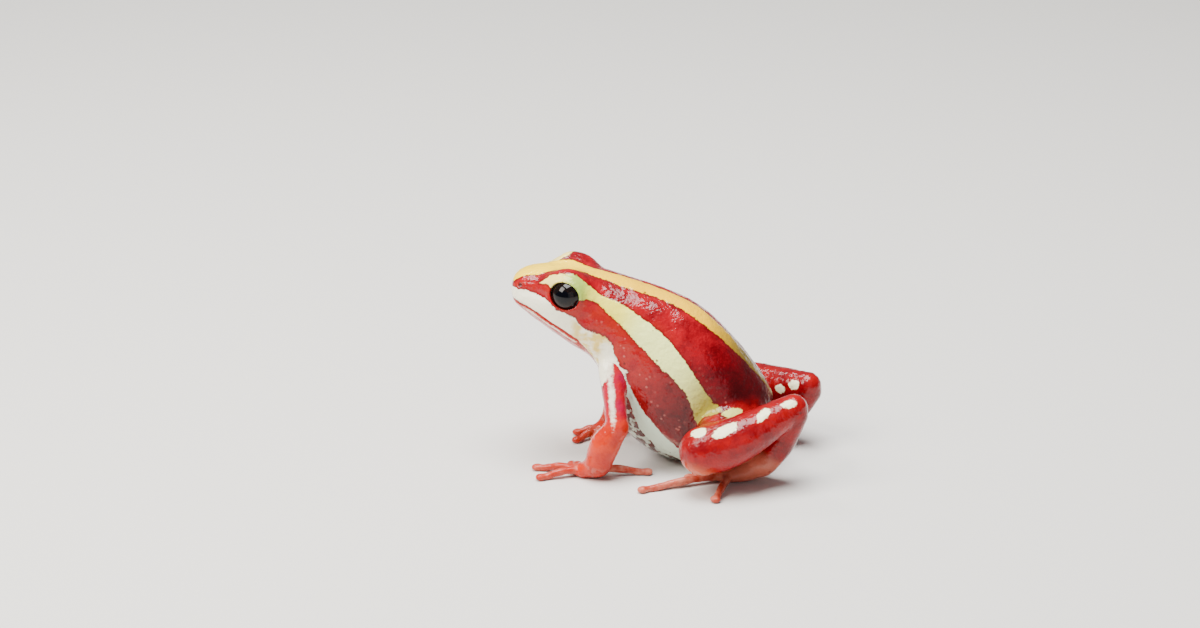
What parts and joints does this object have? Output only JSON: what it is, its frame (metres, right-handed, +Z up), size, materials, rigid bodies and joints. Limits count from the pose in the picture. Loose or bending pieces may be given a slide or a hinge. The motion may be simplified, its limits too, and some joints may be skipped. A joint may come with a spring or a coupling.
{
  "type": "poison arrow frog model",
  "caption": "Life-size still model of a small crimson frog with cream stripes, sitting upright with its head raised and hind legs folded.",
  "frame": {"origin": "on the ground under the middle of the animal's bounding box", "axes": "+X towards the rump with the snout at -X, +Y to the animal's right, +Z up"},
  "size_m": [0.0248, 0.0182, 0.0163],
  "materials": {
    "back_skin": "wet, finely granular skin with cream stripes",
    "limb_skin": "wet smooth skin with cream spots",
    "foot_skin": "damp dull skin",
    "eye": "wet and glossy"
  },
  "bodies": {
    "root": {"head": "back_skin", "torso": "back_skin", "upper_arm_left": "limb_skin", "forearm_left": "limb_skin", "hand_left": "limb_skin", "thigh_left": "limb_skin", "shank_left": "limb_skin", "upper_arm_right": "limb_skin", "forearm_right": "limb_skin", "hand_right": "limb_skin", "thigh_right": "limb_skin", "shank_right": "limb_skin", "tarsus_left": "foot_skin", "foot_left": "foot_skin", "tarsus_right": "foot_skin", "foot_right": "foot_skin", "eye_left": "eye", "eye_right": "eye"}
  },
  "joints": []
}
